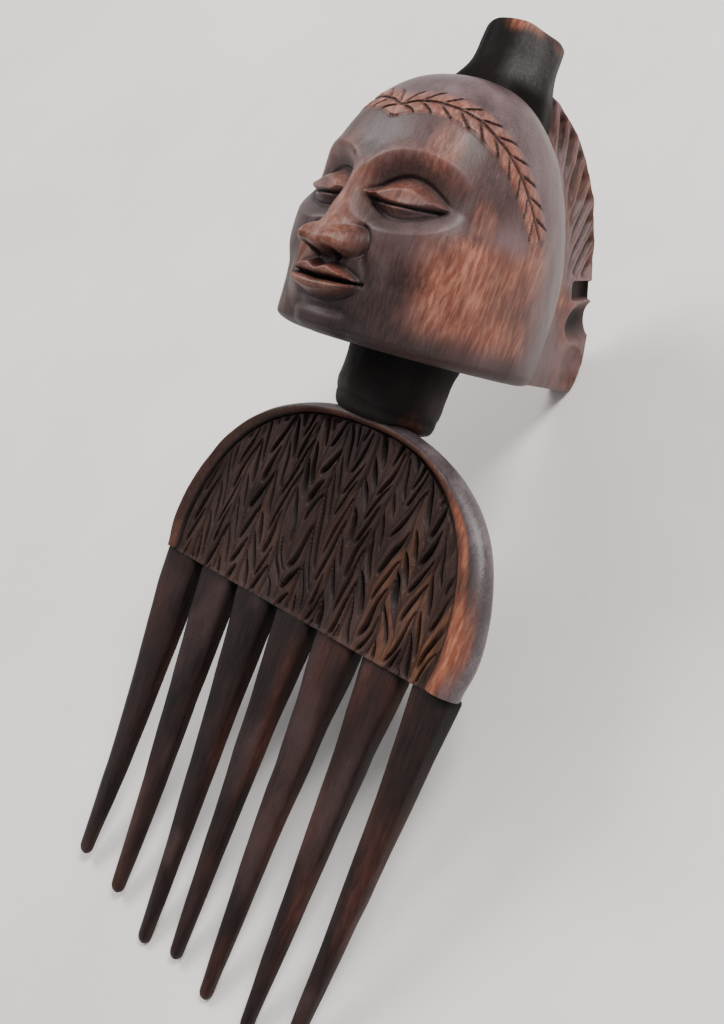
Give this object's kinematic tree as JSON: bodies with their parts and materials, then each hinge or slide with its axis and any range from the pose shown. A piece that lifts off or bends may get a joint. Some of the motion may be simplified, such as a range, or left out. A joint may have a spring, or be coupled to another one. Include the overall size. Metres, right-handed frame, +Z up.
{
  "type": "decorative hair comb",
  "caption": "Hand-carved wooden hair comb with tapered teeth, a wheat-ear carved board and a carved head finial with a crest and topknot.",
  "frame": {"origin": "on the ground, under the middle of the comb as it lies on its back", "axes": "+Y from the tooth tips to the topknot, +X across the board, +Z up out of the carved front"},
  "size_m": [0.088, 0.1858, 0.0817],
  "materials": {
    "tooth_wood": "dark waxed wood, satin, with lighter rubbed edges",
    "board_wood": "dark waxed wood, satin, rubbed to copper red on the rim's inner edge",
    "panel_wood": "dark waxed wood, matt in the cuts",
    "head_wood": "dark waxed wood, satin, rubbed to copper red on the cheeks",
    "topknot_wood": "dark waxed wood, satin, with a grey bloom"
  },
  "bodies": {
    "root": {"tooth_1": "tooth_wood", "tooth_2": "tooth_wood", "tooth_3": "tooth_wood", "tooth_4": "tooth_wood", "tooth_5": "tooth_wood", "tooth_6": "tooth_wood", "tooth_7": "tooth_wood", "rim": "board_wood", "carved_panel": "panel_wood", "neck": "board_wood", "head": "head_wood", "crest": "head_wood", "topknot": "topknot_wood", "nose": "head_wood", "upper_lip": "head_wood", "lower_lip": "head_wood", "left_eyelid": "head_wood", "right_eyelid": "head_wood", "left_brow_band": "head_wood", "right_brow_band": "head_wood"}
  },
  "joints": []
}
